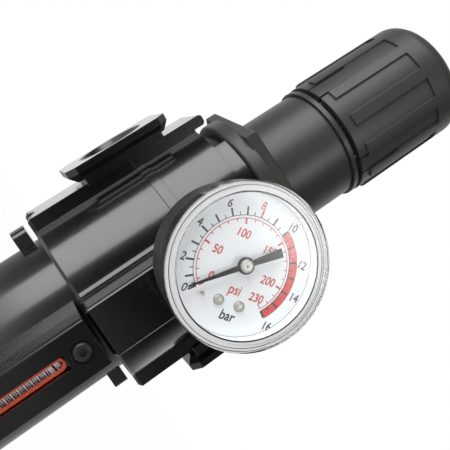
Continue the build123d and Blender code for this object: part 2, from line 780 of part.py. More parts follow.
with BuildPart() as drain_fitting:
    disc(drain_flange_r, inner_floor, inner_floor + drain_flange_t)
    disc(drain_r, drain_low + drain_socket_h, inner_floor)
    disc(drain_bore_r, drain_low, inner_floor + drain_flange_t + 1, mode=Mode.SUBTRACT)
save(drain_fitting, "drain_fitting")

with BuildPart() as drain_nut:
    with BuildSketch(Plane.XY.offset(nut_low)):
        RegularPolygon(drain_nut_af / 2, 6, major_radius=False)
        Circle(drain_r, mode=Mode.SUBTRACT)
    extrude(amount=drain_nut_t)
save(drain_nut, "drain_nut")

with BuildPart() as drain_knob:
    disc(drain_knob_r, drain_low, drain_top)
    with BuildSketch(Plane.XY.offset(drain_low)):
        with PolarLocations(drain_knob_r + drain_grip_out, drain_grip_count):
            Circle(drain_grip_r)
    extrude(amount=drain_knob_h, mode=Mode.SUBTRACT)
    disc(drain_spout_r, drain_low - drain_spout_h, drain_low)
    disc(drain_r + run_gap, drain_low + drain_socket_h - clear_gap, drain_top + 1, mode=Mode.SUBTRACT)
    disc(drain_bore_r, drain_low - drain_spout_h - 1, drain_top, mode=Mode.SUBTRACT)
save(drain_knob, "drain_knob")

# Gauge
roll = radians(gauge_roll)
case_back = pad_reach + case_gap
case_front = case_back + case_depth
lens_back = case_front - lens_lap
lens_front = case_front + lens_proud
dial_y = case_front - dial_sink
pointer_y = dial_y + pointer_gap
socket_r = gauge_thread_r - stem_step


def dial_point(angle, radius):
    """X and Z of a point on the dial, by its clockwise angle from the dial's own top."""
    turned = radians(angle) + roll
    return radius * sin(turned), gauge_z + radius * cos(turned)


def front_plane(depth, angle=0.0):
    """Plane that faces the front at a depth, on the gauge's axis and turned with the dial."""
    turned = radians(angle) + roll
    return Plane(origin=(0, -depth, gauge_z), x_dir=(cos(turned), 0, -sin(turned)), z_dir=(0, -1, 0))


with BuildPart() as gauge_stem:
    rod_y(gauge_thread_r, -pad_reach, -pad_reach + stem_len, gauge_z)
    with BuildSketch(front_plane(pad_reach)):
        Rectangle(square_af, square_af)
    extrude(amount=case_back - pad_reach)
    rod_y(socket_r, -case_back - stem_reach, -case_back, gauge_z)
    rod_y(gauge_way_r, -case_back - 1, -pad_reach + gauge_port_depth, gauge_z, mode=Mode.SUBTRACT)
save(gauge_stem, "gauge_stem")

with BuildPart() as gauge_case:
    rod_y(case_r, -case_front, -case_back, gauge_z)
    fillet(gauge_case.faces().sort_by(Axis.Y)[-1].edges(), case_round)
    rod_y(case_r - case_wall, -case_front - 1, -case_back - case_wall, gauge_z, mode=Mode.SUBTRACT)
    rod_y(socket_r, -case_back - case_wall, -case_back + 1, gauge_z, mode=Mode.SUBTRACT)
save(gauge_case, "gauge_case")

with BuildPart() as gauge_lens:
    rod_y(lens_r, -lens_front, -lens_back, gauge_z)
    fillet(gauge_lens.faces().sort_by(Axis.Y)[0].edges(), lens_round)
    rod_y(case_r + seat_gap, -case_front - seat_gap, -lens_back + 1, gauge_z, mode=Mode.SUBTRACT)
    rod_y(case_r - case_wall, -lens_front + lens_t, -case_front, gauge_z, mode=Mode.SUBTRACT)
    rod_y(lens_r - rim_w, -lens_front - 1, -lens_front + rim_rise, gauge_z, mode=Mode.SUBTRACT)
    with BuildSketch(front_plane(lens_front)):
        Circle(rim_line_r)
        Circle(rim_line_r - rim_line_w, mode=Mode.SUBTRACT)
    extrude(amount=-rim_line_w, mode=Mode.SUBTRACT)
save(gauge_lens, "gauge_lens")

dial_back = dial_y - dial_t
frame_plate_back = dial_back - movement_plate_t
screw_half_angle = degrees(asin(dial_screw_gap / 2 / dial_screw_ring))
screw_points = [dial_point(180 + side * screw_half_angle, dial_screw_ring) for side in (-1, 1)]

with BuildPart() as gauge_dial:
    rod_y(dial_r, -dial_y, -dial_back, gauge_z)
    rod_y(shaft_r + clear_gap, -dial_y - 1, -dial_back + 1, gauge_z, mode=Mode.SUBTRACT)
    for x, z in screw_points:
        rod_y(dial_shank_r, -dial_y - 1, -dial_back + 1, z, mode=Mode.SUBTRACT, x=x)
save(gauge_dial, "gauge_dial")

# Movement: the socket on the stem, and the plate that carries the dial and the pointer's shaft
with BuildPart() as movement_frame:
    rod_y(movement_plate_r, -dial_back, -frame_plate_back, gauge_z)
    with BuildSketch(front_plane(case_back + case_wall + seat_gap)):
        Rectangle(movement_w, movement_w)
    extrude(amount=frame_plate_back - case_back - case_wall - seat_gap)
    rod_y(socket_r, -case_back - stem_reach, -case_back, gauge_z, mode=Mode.SUBTRACT)
    rod_y(shaft_r + run_gap, -dial_back - 1, -case_back, gauge_z, mode=Mode.SUBTRACT)
    for x, z in screw_points:
        rod_y(dial_shank_r, -dial_back - 1, -frame_plate_back + 1, z, mode=Mode.SUBTRACT, x=x)
save(movement_frame, "movement_frame")

with BuildPart() as dial_screws:
    for x, z in screw_points:
        rod_y(dial_screw_r, -dial_y - dial_screw_t, -dial_y, z, x=x)
    fillet(dial_screws.faces().sort_by(Axis.Y)[0:2].edges(), dial_screw_round)
    for x, z in screw_points:
        rod_y(dial_shank_r, -dial_y, -frame_plate_back, z, x=x)
save(dial_screws, "dial_screws")

with BuildPart() as stop_pin:
    x, z = dial_point(zero_angle - stop_turn, stop_ring)
    rod_y(stop_pin_r, -pointer_y - stop_rise, -dial_y, z, x=x)
save(stop_pin, "stop_pin")

with BuildPart() as pointer:
    with BuildSketch(front_plane(pointer_y, zero_angle)):
        with BuildLine():
            Polyline((-pointer_tip_w / 2, pointer_len), (pointer_tip_w / 2, pointer_len),
                     (pointer_waist_w / 2, pointer_neck), (pointer_waist_w / 2, -pointer_waist),
                     (pointer_tail_w / 2, -pointer_tail), (-pointer_tail_w / 2, -pointer_tail),
                     (-pointer_waist_w / 2, -pointer_waist), (-pointer_waist_w / 2, pointer_neck),
                     close=True)
        make_face()
        Circle(cap_r)
    extrude(amount=pointer_t)
save(pointer, "pointer")

with BuildPart() as pointer_cap:
    rod_y(cap_r, -pointer_y - pointer_t - cap_t, -pointer_y - pointer_t, gauge_z)
    fillet(pointer_cap.faces().sort_by(Axis.Y)[0].edges(), cap_round)
save(pointer_cap, "pointer_cap")

with BuildPart() as pointer_shaft:
    rod_y(shaft_r, -pointer_y, -case_back - stem_reach - clear_gap, gauge_z)
save(pointer_shaft, "pointer_shaft")

# Plug in the rear gauge port
with BuildPart() as rear_plug:
    rod_y(gauge_thread_r, pad_reach - plug_len, pad_reach, gauge_z)
    rod_y(plug_head_r, pad_reach, pad_reach + plug_head_t, gauge_z)
    with BuildSketch(Plane(origin=(0, pad_reach + plug_head_t, gauge_z), x_dir=(1, 0, 0), z_dir=(0, -1, 0))):
        RegularPolygon(plug_af / 2, 6, major_radius=False)
    extrude(amount=plug_socket, mode=Mode.SUBTRACT)
save(rear_plug, "rear_plug")
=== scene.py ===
"""Looks of a filter regulator for compressed air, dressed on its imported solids.

Sizes and places are in millimetres and degrees in the part's own frame, where +Z runs up the
regulator and -Y is its front. MM turns them into the scene's metres.
"""

import json
import logging
import math
from collections.abc import Sequence
from dataclasses import dataclass, field
from enum import Enum

import bmesh
import bpy
from mathutils import Matrix, Vector


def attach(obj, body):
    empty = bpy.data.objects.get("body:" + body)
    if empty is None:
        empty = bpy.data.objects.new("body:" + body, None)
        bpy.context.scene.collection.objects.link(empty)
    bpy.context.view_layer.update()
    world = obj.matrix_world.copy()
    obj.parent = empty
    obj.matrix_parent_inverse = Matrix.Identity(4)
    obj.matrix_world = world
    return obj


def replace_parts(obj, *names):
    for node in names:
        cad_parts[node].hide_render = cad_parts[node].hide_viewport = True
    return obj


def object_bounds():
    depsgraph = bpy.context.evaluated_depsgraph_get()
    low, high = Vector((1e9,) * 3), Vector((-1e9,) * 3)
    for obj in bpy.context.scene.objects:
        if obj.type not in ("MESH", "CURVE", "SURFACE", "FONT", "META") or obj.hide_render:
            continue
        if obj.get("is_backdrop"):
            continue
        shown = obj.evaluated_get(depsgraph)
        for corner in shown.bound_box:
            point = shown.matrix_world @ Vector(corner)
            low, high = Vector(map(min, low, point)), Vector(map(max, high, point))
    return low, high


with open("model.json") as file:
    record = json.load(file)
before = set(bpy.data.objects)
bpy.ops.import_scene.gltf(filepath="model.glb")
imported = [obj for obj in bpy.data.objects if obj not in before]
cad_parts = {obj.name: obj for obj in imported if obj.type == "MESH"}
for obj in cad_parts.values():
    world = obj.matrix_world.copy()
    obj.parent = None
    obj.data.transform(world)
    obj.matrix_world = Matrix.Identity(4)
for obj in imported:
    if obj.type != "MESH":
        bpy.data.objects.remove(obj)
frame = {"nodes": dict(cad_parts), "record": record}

MM = 0.001
LOG = logging.getLogger("filter_regulator")
Colour = tuple[float, float, float]
Place = tuple[float, float, float]
Point = tuple[float, float]


class Ink(Enum):
    """Inks that the dial is printed with."""

    BLACK = "dial_ink_black"
    RED = "dial_ink_red"


class Layer(Enum):
    """Layers of ink on the dial, counted up from its face."""

    BOTTOM = 1.0
    MIDDLE = 2.0
    TOP = 3.0


class Grade(Enum):
    """How finely a surface is moulded or cast, as the size of its grain."""

    POLISHED = 0.9
    CAST = 2.2
    MOULDED = 0.35


class NodeBoard:
    """A node tree with short ways to add and join its nodes."""

    def __init__(self, tree: bpy.types.NodeTree) -> None:
        """Keep the tree and empty it.

        Args:
            tree: The tree to fill.
        """
        self.tree = tree
        tree.nodes.clear()

    def add(self, kind: str, values: dict[str | int, object] | None = None,
            **settings: object) -> bpy.types.Node:
        """Add a node.

        Args:
            kind: The node's type name, without its "ShaderNode" prefix where it has one.
            values: Defaults for its input sockets, by name or number.
            settings: Properties of the node itself.

        Returns:
            The new node.
        """
        name = kind if kind.startswith(("Node", "Shader")) else "ShaderNode" + kind
        node = self.tree.nodes.new(name)
        for key, value in settings.items():
            setattr(node, key, value)
        for socket, value in (values or {}).items():
            node.inputs[socket].default_value = value
        return node

    def group(self, tree: bpy.types.NodeTree, values: dict[str, float]) -> bpy.types.Node:
        """Place a shared group with its own values.

        Args:
            tree: The group.
            values: Its inputs, by name.

        Returns:
            The group node.
        """
        return self.add("Group", values, node_tree=tree)

    def join(self, source: bpy.types.NodeSocket, target: bpy.types.NodeSocket) -> None:
        """Link an output to an input."""
        self.tree.links.new(source, target)

    def math(self, operation: str, first: object, second: object = 0.0) -> bpy.types.NodeSocket:
        """Add a math node on sockets or plain numbers.

        Args:
            operation: The node's operation.
            first: Socket or number.
            second: Socket or number.

        Returns:
            The node's output.
        """
        node = self.add("Math", operation=operation)
        for index, value in enumerate((first, second)):
            if isinstance(value, bpy.types.NodeSocket):
                self.join(value, node.inputs[index])
            else:
                node.inputs[index].default_value = value
        return node.outputs[0]

    def spread(self, value: bpy.types.NodeSocket, low: float, high: float) -> bpy.types.NodeSocket:
        """Map a mask from 0 and 1 to two other numbers.

        Args:
            value: The mask.
            low: Result at 0.
            high: Result at 1.

        Returns:
            The mapped value.
        """
        node = self.add("MapRange", {"To Min": low, "To Max": high})
        self.join(value, node.inputs["Value"])
        return node.outputs["Result"]

    def mask(self, value: bpy.types.NodeSocket, span: Point) -> bpy.types.NodeSocket:
        """Turn a value into a mask that rises from 0 to 1 over a span.

        Args:
            value: The value.
            span: Where the mask starts to rise and where it is full.

        Returns:
            The mask.
        """
        node = self.add("MapRange", {"From Min": span[0], "From Max": span[1]})
        self.join(value, node.inputs["Value"])
        return node.outputs["Result"]

    def blend(self, mask: bpy.types.NodeSocket, first: Colour, second: Colour) -> bpy.types.NodeSocket:
        """Mix two colours by a mask.

        Args:
            mask: Share of the second colour.
            first: Colour where the mask is 0.
            second: Colour where the mask is 1.

        Returns:
            The mixed colour.
        """
        node = self.add("Mix", {6: (*first, 1.0), 7: (*second, 1.0)}, data_type="RGBA")
        self.join(mask, node.inputs["Factor"])
        return node.outputs[2]

    def close(self, shader: bpy.types.NodeSocket, kind: str = "OutputMaterial") -> None:
        """Link a shader to the tree's output."""
        self.join(shader, self.add(kind).inputs["Surface"])


@dataclass
class GroupShelf:
    """The shader node groups that several finishes share, each built once."""

    bevel_samples: int = 6
    slow_share: float = 0.09
    speck_share: float = 40.0
    smear_span: Point = (0.5, 0.75)
    speck_span: Point = (0.7, 0.78)
    brush_stretch: tuple[float, float, float] = (0.05, 1.0, 1.0)

    def __post_init__(self) -> None:
        """Build all groups."""
        self.edge = self._soft_edge()
        self.grain = self._surface_grain()
        self.handling = self._handling()
        self.turning = self._turning()

    @staticmethod
    def _open(name: str, inputs: dict[str, float], outputs: dict[str, str]) -> tuple[
            bpy.types.NodeTree, NodeBoard, bpy.types.Node, bpy.types.Node]:
        """Start a group.

        Args:
            name: The group's name.
            inputs: Names and defaults of its number inputs.
            outputs: Names of its outputs and their socket types.

        Returns:
            The tree, its board, and its input and output nodes.
        """
        tree = bpy.data.node_groups.new(name, "ShaderNodeTree")
        for label, value in inputs.items():
            socket = tree.interface.new_socket(label, in_out="INPUT", socket_type="NodeSocketFloat")
            socket.default_value = value
        for label, kind in outputs.items():
            tree.interface.new_socket(label, in_out="OUTPUT", socket_type=kind)
        board = NodeBoard(tree)
        return tree, board, board.add("NodeGroupInput"), board.add("NodeGroupOutput")

    def _soft_edge(self) -> bpy.types.NodeTree:
        """Build the small rounded edges that catch the light.

        Returns:
            The group.
        """
        tree, board, given, result = self._open(
            "Soft edge", {"Radius": 0.3 * MM}, {"Normal": "NodeSocketVector"})
        bevel = board.add("Bevel", samples=self.bevel_samples)
        board.join(given.outputs["Radius"], bevel.inputs["Radius"])
        board.join(bevel.outputs["Normal"], result.inputs["Normal"])
        return tree

    def _surface_grain(self) -> bpy.types.NodeTree:
        """Build the fine height of a cast or moulded skin, with slow waves below it.

        Returns:
            The group.
        """
        tree, board, given, result = self._open(
            "Surface grain", {"Grain": 1.0 * MM, "Waves": 0.0},
            {"Height": "NodeSocketFloat", "Tone": "NodeSocketFloat"})
        place = board.add("TexCoord")
        fine_scale = board.math("DIVIDE", 1.0, given.outputs["Grain"])
        slow_scale = board.math("MULTIPLY", fine_scale, self.slow_share)
        fine = board.add("TexNoise", {"Detail": 2.0, "Roughness": 0.55})
        slow = board.add("TexNoise", {"Detail": 1.0, "Roughness": 0.5})
        for noise, scale in ((fine, fine_scale), (slow, slow_scale)):
            board.join(place.outputs["Object"], noise.inputs["Vector"])
            board.join(scale, noise.inputs["Scale"])
        waves = board.math("MULTIPLY", slow.outputs["Fac"], given.outputs["Waves"])
        board.join(board.math("ADD", fine.outputs["Fac"], waves), result.inputs["Height"])
        board.join(slow.outputs["Fac"], result.inputs["Tone"])
        return tree

    def _handling(self) -> bpy.types.NodeTree:
        """Build the mask of faint smears and specks from handling.

        Returns:
            The group.
        """
        tree, board, given, result = self._open(
            "Handling marks", {"Size": 20 * MM, "Amount": 0.5}, {"Mask": "NodeSocketFloat"})
        place = board.add("TexCoord")
        scale = board.math("DIVIDE", 1.0, given.outputs["Size"])
        smear = board.add("TexNoise", {"Detail": 4.0, "Roughness": 0.6, "Distortion": 1.2})
        speck = board.add("TexNoise", {"Detail": 1.0})
        board.join(scale, smear.inputs["Scale"])
        board.join(board.math("MULTIPLY", scale, self.speck_share), speck.inputs["Scale"])
        for noise in (smear, speck):
            board.join(place.outputs["Object"], noise.inputs["Vector"])
        both = board.math("MAXIMUM", board.mask(smear.outputs["Fac"], self.smear_span),
                          board.mask(speck.outputs["Fac"], self.speck_span))
        board.join(board.math("MULTIPLY", both, given.outputs["Amount"]), result.inputs["Mask"])
        return tree

    def _turning(self) -> bpy.types.NodeTree:
        """Build the fine lines that a lathe or a brush leaves, as a height drawn out along X.

        Returns:
            The group.
        """
        tree, board, given, result = self._open(
            "Turning lines", {"Pitch": 0.12 * MM}, {"Height": "NodeSocketFloat"})
        place = board.add("TexCoord")
        wave = board.add("TexNoise", {"Detail": 0.0})
        stretch = board.add("VectorMath", {1: self.brush_stretch}, operation="MULTIPLY")
        board.join(place.outputs["Object"], stretch.inputs[0])
        board.join(stretch.outputs[0], wave.inputs["Vector"])
        board.join(board.math("DIVIDE", 1.0, given.outputs["Pitch"]), wave.inputs["Scale"])
        board.join(wave.outputs["Fac"], result.inputs["Height"])
        return tree


SHELF = GroupShelf()


@dataclass(frozen=True)
class Skin:
    """A solid finish: paint, moulded plastic, rubber or bare metal.

    Its colour wanders slowly between the two that are given. The depth is that of its grain, and
    the marks are how strongly handling roughens it.
    """

    name: str
    colour: Colour
    second: Colour
    roughness: float
    grade: Grade = Grade.MOULDED
    depth: float = 0.01
    waves: float = 0.0
    rough_span: float = 0.06
    coat: float = 0.0
    coat_roughness: float = 0.1
    metallic: float = 0.0
    edge: float = 0.25
    marks: float = 0.4
    turned: bool = False
    specular: float = 0.5

    def build(self) -> bpy.types.Material:
        """Make the material.

        Returns:
            The finished material.
        """
        material = bpy.data.materials.new(self.name)
        material.use_nodes = True
        board = NodeBoard(material.node_tree)
        shader = board.add("BsdfPrincipled", {
            "Metallic": self.metallic, "Coat Weight": self.coat, "Coat Roughness": self.coat_roughness,
            "Specular IOR Level": self.specular})
        grain = board.group(SHELF.grain, {"Grain": self.grade.value * MM, "Waves": self.waves})
        marks = board.group(SHELF.handling, {"Amount": self.marks})
        edge = board.group(SHELF.edge, {"Radius": self.edge * MM})
        board.join(board.blend(grain.outputs["Tone"], self.colour, self.second), shader.inputs["Base Color"])
        rough = board.spread(marks.outputs["Mask"], self.roughness, self.roughness + self.rough_span)
        board.join(rough, shader.inputs["Roughness"])
        bump = board.add("Bump", {"Distance": self.depth * MM, "Strength": 1.0})
        height = grain.outputs["Height"]
        if self.turned:
            lines = board.group(SHELF.turning, {})
            height = board.math("ADD", height, lines.outputs["Height"])
        board.join(height, bump.inputs["Height"])
        board.join(edge.outputs["Normal"], bump.inputs["Normal"])
        board.join(bump.outputs["Normal"], shader.inputs["Normal"])
        board.close(shader.outputs[0])
        return material


@dataclass(frozen=True)
class Clear:
    """A clear moulding that lets the light through to what lies behind it."""

    name: str
    tint: Colour
    roughness: float
    ior: float = 1.49
    haze: float = 0.04
    coat: float = 0.0
    coat_roughness: float = 0.3
    marks_size: float = 12.0
    grain: float = 3.0
    shade: float = 0.985

    def build(self) -> bpy.types.Material:
        """Make the material.

        Returns:
            The finished material.
        """
        material = bpy.data.materials.new(self.name)
        material.use_nodes = True
        board = NodeBoard(material.node_tree)
        shader = board.add("BsdfPrincipled", {
            "Transmission Weight": 1.0, "IOR": self.ior, "Metallic": 0.0, "Coat Weight": self.coat,
            "Coat Roughness": self.coat_roughness})
        marks = board.group(SHELF.handling, {"Size": self.marks_size * MM, "Amount": 1.0})
        board.join(board.spread(marks.outputs["Mask"], self.roughness, self.roughness + self.haze),
                   shader.inputs["Roughness"])
        grain = board.group(SHELF.grain, {"Grain": self.grain * MM})
        darker = tuple(self.shade * part for part in self.tint)
        board.join(board.blend(grain.outputs["Tone"], self.tint, darker), shader.inputs["Base Color"])
        open_way = board.add("BsdfTransparent")
        path = board.add("LightPath")
        soft = board.math("MAXIMUM", path.outputs["Is Shadow Ray"], path.outputs["Is Diffuse Ray"])
        mix = board.add("MixShader")
        board.join(soft, mix.inputs[0])
        board.join(shader.outputs[0], mix.inputs[1])
        board.join(open_way.outputs[0], mix.inputs[2])
        board.close(mix.outputs[0])
        return material


FINISHES: dict[str, Skin | Clear] = {
    "cast_paint": Skin(
        "black cast paint", (0.0025, 0.0025, 0.003), (0.004, 0.004, 0.004), 0.22, Grade.CAST,
        depth=0.024, waves=4.0, coat=0.7, coat_roughness=0.12, edge=0.4, rough_span=0.14, marks=0.2),
    "bowl_paint": Skin(
        "black bowl paint", (0.0025, 0.0025, 0.003), (0.004, 0.004, 0.004), 0.24, Grade.CAST,
        depth=0.003, waves=2.0, coat=0.7, coat_roughness=0.12, edge=0.4, marks=0.05),
    "frame_paint": Skin(
        "black frame paint", (0.002, 0.002, 0.0025), (0.003, 0.003, 0.003), 0.2, Grade.CAST,
        depth=0.002, coat=0.3, coat_roughness=0.08, edge=0.3, marks=0.05, specular=0.2),
    "bonnet_plastic": Skin("bonnet plastic", (0.03, 0.03, 0.028), (0.038, 0.038, 0.035), 0.4),
    "knob_plastic": Skin(
        "knob plastic", (0.032, 0.032, 0.029), (0.04, 0.04, 0.036), 0.43, depth=0.012, edge=0.3),
    "drain_plastic": Skin("drain plastic", (0.03, 0.03, 0.03), (0.036, 0.036, 0.036), 0.42),
    "gauge_black": Skin(
        "gauge case paint", (0.02, 0.0195, 0.019), (0.026, 0.025, 0.024), 0.42, Grade.POLISHED,
        depth=0.003),
    "clear_lens": Clear(
        "gauge lens", (0.985, 0.992, 0.995), 0.0, ior=1.12, haze=0.02, coat=0.7, coat_roughness=0.22),
    "dial_white": Skin(
        "dial white", (0.87, 0.9, 0.92), (0.9, 0.92, 0.93), 0.5, Grade.POLISHED, depth=0.001, edge=0.05,
        marks=0.1),
    # Pale colour of painted light for the ring inside the clear lens rim, which stands in for the light that
    # the rim shows.
    "painted_rim_light": Skin(
        "painted rim light", (0.68, 0.685, 0.69), (0.74, 0.745, 0.75), 0.5, Grade.POLISHED, depth=0.002,
        edge=0.05, marks=0.2),
    "gauge_brass": Skin(
        "gauge brass", (0.62, 0.46, 0.2), (0.7, 0.53, 0.26), 0.3, Grade.POLISHED, depth=0.004,
        metallic=1.0, turned=True),
    "small_steel": Skin(
        "plated steel", (0.42, 0.41, 0.37), (0.47, 0.46, 0.42), 0.48, Grade.POLISHED, depth=0.001,
        metallic=0.85, edge=0.08, marks=0.1),
    "pointer_black": Skin(
        "pointer black", (0.004, 0.004, 0.005), (0.006, 0.006, 0.007), 0.5, depth=0.002, edge=0.06,
        specular=0.2),
    "screw_black": Skin(
        "black oxide", (0.02, 0.02, 0.021), (0.03, 0.03, 0.03), 0.36, Grade.POLISHED, depth=0.004,
        metallic=0.5, edge=0.12),
    "sight_clear": Clear("level glass", (0.97, 0.99, 0.985), 0.03),
    "seal_red": Skin("red seal", (0.68, 0.075, 0.03), (0.78, 0.13, 0.06), 0.38, depth=0.004, edge=0.3),
    "seal_black": Skin("black seal", (0.02, 0.02, 0.02), (0.026, 0.026, 0.026), 0.55, depth=0.006),
    "inner_white": Skin("inner mouldings", (0.74, 0.74, 0.71), (0.8, 0.8, 0.77), 0.45, depth=0.006),
    "filter_white": Skin("porous filter", (0.78, 0.77, 0.72), (0.86, 0.85, 0.81), 0.85, depth=0.12),
    "plain_steel": Skin(
        "turned steel", (0.5, 0.5, 0.5), (0.6, 0.6, 0.6), 0.3, Grade.POLISHED, depth=0.005, metallic=1.0,
        turned=True),
    "plain_brass": Skin(
        "turned brass", (0.6, 0.44, 0.2), (0.7, 0.53, 0.27), 0.3, Grade.POLISHED, depth=0.005,
        metallic=1.0, turned=True),
    "spring_steel": Skin(
        "spring wire", (0.42, 0.42, 0.43), (0.5, 0.5, 0.5), 0.34, Grade.POLISHED, depth=0.003,
        metallic=1.0),
    "dial_ink_black": Skin(
        "dial_ink_black", (0.015, 0.016, 0.018), (0.01875, 0.02, 0.0225), 0.5, depth=0.001, edge=0.02,
        marks=0.1),
    "dial_ink_red": Skin(
        "dial_ink_red", (0.52, 0.035, 0.03), (0.65, 0.04375, 0.0375), 0.5, depth=0.001, edge=0.02,
        marks=0.1),
}


@dataclass
class Wardrobe:
    """Every finish as a material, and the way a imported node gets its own."""

    made: dict[str, bpy.types.Material] = field(default_factory=dict)

    def material(self, name: str) -> bpy.types.Material:
        """Give the material of a finish, built when it is first asked for.

        Args:
            name: The finish's name, which is a material slot of the record where it has one.

        Returns:
            The material.
        """
        if name not in self.made:
            self.made[name] = FINISHES[name].build()
        return self.made[name]

    def dress(self, node: str) -> None:
        """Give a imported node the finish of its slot.

        Args:
            node: The node's name.
        """
        slots = {row["node"]: row["material_slot"] for row in frame["record"]["subparts"]}
        piece = frame["nodes"][node]
        piece.data.materials.clear()
        piece.data.materials.append(self.material(slots[node]))
        piece.data.polygons.foreach_set("material_index", [0] * len(piece.data.polygons))


def circle(centre: Point, radius: float, steps: int) -> list[Point]:
    """Give the points of a circle that faces the front, clockwise from its top.

    Args:
        centre: X and Z of its middle.
        radius: Its radius.
        steps: Number of points.

    Returns:
        X and Z of each point.
    """
    turns = (2 * math.pi * index / steps for index in range(steps))
    return [(centre[0] + radius * math.sin(turn), centre[1] + radius * math.cos(turn)) for turn in turns]


def add_loop(mesh: bmesh.types.BMesh, outline: Sequence[Point], depth: float) -> list[bmesh.types.BMVert]:
    """Add the vertices of an outline that faces the front.

    Args:
        mesh: Mesh to add to.
        outline: X and Z of each corner.
        depth: How far in front of the regulator's axis it lies.

    Returns:
        The new vertices.
    """
    return [mesh.verts.new(Vector((x, -depth, z)) * MM) for x, z in outline]


def bridge(mesh: bmesh.types.BMesh, loops: Sequence[Sequence[bmesh.types.BMVert]],
           around: bool = False) -> None:
    """Join neighbouring closed loops of vertices with four-sided faces.

    Args:
        mesh: Mesh that holds the vertices.
        loops: The loops, each with the same number of vertices.
        around: Whether the last loop joins the first one too.
    """
    following = [*loops[1:], loops[0]] if around else loops[1:]
    for low, high in zip(loops, following):
        for index in range(len(low)):
            after = (index + 1) % len(low)
            mesh.faces.new((low[index], low[after], high[after], high[index]))


def add_plate(mesh: bmesh.types.BMesh, outline: Sequence[Point], back: float, front: float) -> None:
    """Add a flat plate that faces the front.

    Args:
        mesh: Mesh to add to.
        outline: X and Z of each corner.
        back: How far in front of the regulator's axis its back lies.
        front: How far in front of the regulator's axis its face lies.
    """
    loops = [add_loop(mesh, outline, depth) for depth in (back, front)]
    bridge(mesh, loops)
    for loop in loops:
        mesh.faces.new(loop)


@dataclass
class Assembly:
    """A sub-assembly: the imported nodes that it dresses, and the body that its own pieces ride on."""

    wardrobe: Wardrobe
    body: str
    nodes: tuple[str, ...] = ()

    def dress(self) -> None:
        """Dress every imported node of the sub-assembly."""
        for node in self.nodes:
            self.wardrobe.dress(node)
            LOG.info("dressed %s", node)

    def make_mesh(self, name: str, built: bmesh.types.BMesh, finish: str, smooth: bool = False,
                  flat: bool = False) -> bpy.types.Mesh:
        """Turn a built shape into a mesh with its finish.

        Args:
            name: The mesh's name.
            built: The shape, which is used up.
            finish: The name of its finish.
            smooth: Whether its faces are shaded round.
            flat: Whether it is a flat print, whose faces all look to the front.

        Returns:
            The mesh.
        """
        bmesh.ops.recalc_face_normals(built, faces=built.faces)
        for face in built.faces:
            if flat and face.normal.y > 0:
                face.normal_flip()
        mesh = bpy.data.meshes.new(name)
        built.to_mesh(mesh)
        built.free()
        if smooth:
            mesh.shade_smooth()
        mesh.materials.append(self.wardrobe.material(finish))
        return mesh

    def add_piece(self, name: str, mesh: bpy.types.Mesh, slot: str) -> bpy.types.Object:
        """Link a new piece that rides on the sub-assembly's body.

        Args:
            name: The piece's name.
            mesh: Its mesh, in the part's frame.
            slot: Not used.

        Returns:
            The new object.
        """
        piece = bpy.data.objects.new(name, mesh)
        bpy.context.scene.collection.objects.link(piece)
        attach(piece, self.body)
        LOG.info("made %s", name)
        return piece


@dataclass
class LevelPrismLight(Assembly):
    """Pale slanted plates behind the level glass's clear bar: painted light that stands in for the bright
    ladder its grooves reflect.
    """

    width: float = 4.6
    back: float = 38.0
    front: float = 38.7
    low: float = -97.5
    high: float = -42.2
    pitch: float = 1.9
    rung: float = 1.3
    slant: float = 0.9

    def build(self) -> None:
        """Build the slanted pale plates of painted light."""
        half = self.width / 2
        mesh = bmesh.new()
        for index in range(int((self.high - self.low - self.slant) / self.pitch)):
            foot = self.low + index * self.pitch
            outline = ((-half, foot), (half, foot + self.slant), (half, foot + self.slant + self.rung),
                       (-half, foot + self.rung))
            add_plate(mesh, outline, self.back, self.front)
        # The plates take the bright dial white as painted light for the glass's bright ladder.
        data = self.make_mesh("level_prism_light", mesh, "dial_white")
        self.add_piece("level_prism_light", data, "sight_clear")


@dataclass
class LockRing(Assembly):
    """The toothed ring that stands on the bonnet's shoulder, inside the knob's rim."""

    outer_r: float = 17.7
    inner_r: float = 16.4
    low: float = 62.7
    high: float = 69.0
    teeth: int = 48
    tooth: float = 0.4

    def build(self) -> None:
        """Build the ring from sections that stand out and back by turns."""
        mesh = bmesh.new()
        sections = []
        for index in range(2 * self.teeth):
            turn = math.pi * index / self.teeth
            outer = self.outer_r - (self.tooth if index % 2 else 0.0)
            corners = ((self.inner_r, self.low), (outer, self.low), (outer, self.high),
                       (self.inner_r, self.high))
            sections.append([
                mesh.verts.new(Vector((radius * math.cos(turn), radius * math.sin(turn), height)) * MM)
                for radius, height in corners])
        bridge(mesh, sections, around=True)
        data = self.make_mesh("lock_ring", mesh, "bonnet_plastic")
        self.add_piece("lock_ring", data, "bonnet_plastic")


@dataclass(frozen=True)
class Word:
    """A word on the dial: its middle by angle and radius about the gauge's axis."""

    name: str
    text: str
    angle: float
    radius: float
    ink: Ink = Ink.BLACK
    height: float = 2.1


WORDS: tuple[Word, ...] = (
    Word("bar_00", "0", -129.0, 15.9),
    Word("bar_02", "2", -101.2, 15.7),
    Word("bar_04", "4", -68.0, 15.7),
    Word("bar_06", "6", -35.5, 15.7),
    Word("bar_08", "8", -2.0, 15.2, Ink.RED),
    Word("bar_10", "10", 34.5, 15.6),
    Word("bar_12", "12", 71.8, 15.7),
    Word("bar_14", "14", 102.5, 16.5),
    Word("bar_16", "16", 137.0, 17.2),
    Word("psi_000", "0", -126.5, 8.8, Ink.RED),
    Word("psi_050", "50", -81.0, 8.0, Ink.RED),
    Word("psi_100", "100", -23.0, 7.8, Ink.RED),
    Word("psi_150", "150", 44.5, 7.4, Ink.RED),
    Word("psi_200", "200", 103.5, 7.9, Ink.RED),
    Word("psi_230", "230", 137.0, 9.3, Ink.RED),
    Word("unit_psi", "psi", 178.0, 6.6, Ink.RED, 2.5),
    Word("unit_bar", "bar", 177.0, 13.3, Ink.BLACK, 2.5),
)


